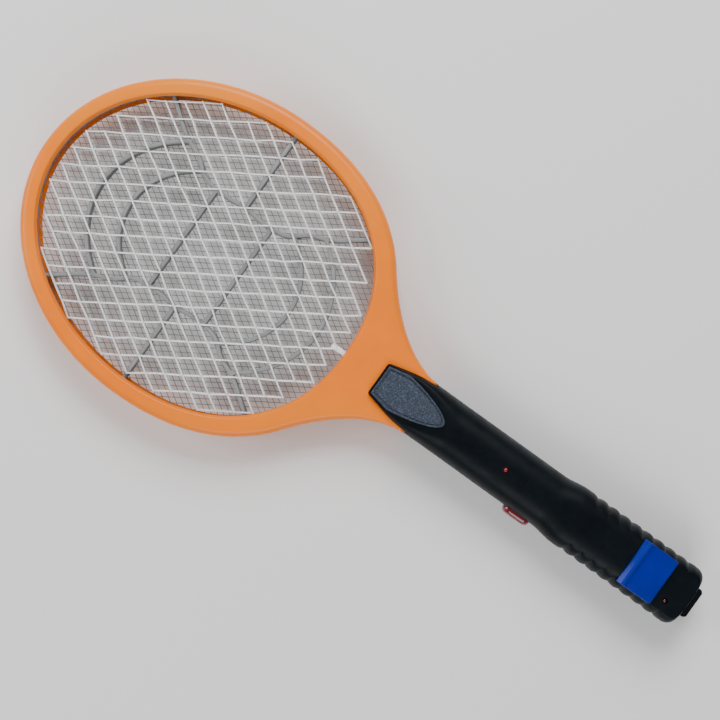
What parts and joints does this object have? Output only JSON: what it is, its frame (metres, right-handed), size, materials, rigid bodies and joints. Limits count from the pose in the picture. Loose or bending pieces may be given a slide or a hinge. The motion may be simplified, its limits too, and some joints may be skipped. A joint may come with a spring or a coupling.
{
  "type": "electric fly swatter",
  "caption": "Racket-shaped electric fly swatter: oval frame with layered wire grids, tube handle with a side push button and a slide-out charging plug.",
  "frame": {"origin": "middle of the bounding box on the plane that the handle's back lies on", "axes": "+X along the swatter towards the plug end, +Z out of the front face, -Y on the push button's side"},
  "size_m": [0.47, 0.1962, 0.0364],
  "materials": {
    "frame_orange": "satin moulded, rounded edges",
    "handle_black": "fine matt with a slight sheen",
    "inlay_grey": "fine pebble texture",
    "spacer_grey": "plain moulded",
    "grid_wire": "bright drawn wire",
    "slider_blue": "glossy",
    "button_red": "translucent, glossy",
    "lens_red": "clear red lens",
    "nylon_dark": "plain moulded",
    "blade_brass": "stamped, nickel-washed",
    "fastener_steel": "zinc-plated",
    "board_green": "solder-masked laminate",
    "ferrite": "sintered, matt",
    "coil_tape": "wound polyester tape",
    "film_capacitor": "dipped",
    "component_black": "moulded epoxy",
    "component_tan": "lacquered",
    "cell_sleeve": "heat-shrunk sleeve",
    "lead_red": "soft insulation",
    "lead_black": "soft insulation",
    "lead_white": "soft insulation"
  },
  "bodies": {
    "swatter": {"head_front_frame": "frame_orange", "head_rear_frame": "frame_orange", "front_grid": "grid_wire", "middle_grid": "grid_wire", "rear_grid": "grid_wire", "front_spacer": "spacer_grey", "rear_spacer": "spacer_grey", "head_screw_1": "fastener_steel", "head_screw_2": "fastener_steel", "head_screw_3": "fastener_steel", "head_screw_4": "fastener_steel", "head_screw_5": "fastener_steel", "head_screw_6": "fastener_steel", "handle_front_shell": "handle_black", "handle_rear_shell": "handle_black", "throat_inlay": "inlay_grey", "handle_screw_1": "fastener_steel", "handle_screw_2": "fastener_steel", "handle_screw_3": "fastener_steel", "handle_screw_4": "fastener_steel", "handle_screw_5": "fastener_steel", "tact_switch": "component_black", "tail_cap": "handle_black", "circuit_board": "board_green", "transformer_core": "ferrite", "transformer_coil": "coil_tape", "hv_capacitor_1": "film_capacitor", "hv_capacitor_2": "film_capacitor", "hv_diode_1": "component_black", "hv_diode_2": "component_black", "hv_diode_3": "component_black", "hv_diode_4": "component_black", "bleed_resistor": "component_tan", "transistor": "component_black", "indicator_led": "lens_red", "charge_led": "lens_red", "battery_cell_1": "cell_sleeve", "battery_cell_2": "cell_sleeve", "battery_link": "fastener_steel", "charger_board": "board_green", "dropper_capacitor": "film_capacitor", "charge_contact_1": "blade_brass", "charge_contact_2": "blade_brass", "hv_lead_front": "lead_red", "hv_lead_middle": "lead_white", "hv_lead_rear": "lead_red", "battery_lead_red": "lead_red", "battery_lead_black": "lead_black", "charge_led_lead": "lead_black"},
    "button": {"power_button": "button_red", "switch_plunger": "nylon_dark"},
    "plug": {"charging_slider": "slider_blue", "plug_carriage": "nylon_dark", "plug_blade_left": "blade_brass", "plug_blade_right": "blade_brass"}
  },
  "joints": [
    {"name": "button_press", "type": "slide", "parent": "swatter", "child": "button", "axis": [0, 1, 0], "range_m": [0, 0.0014], "stiffness_N_per_m": 900, "springref_m": -0.0008},
    {"name": "plug_slide", "type": "slide", "parent": "swatter", "child": "plug", "axis": [1, 0, 0], "range_m": [0, 0.016]}
  ]
}
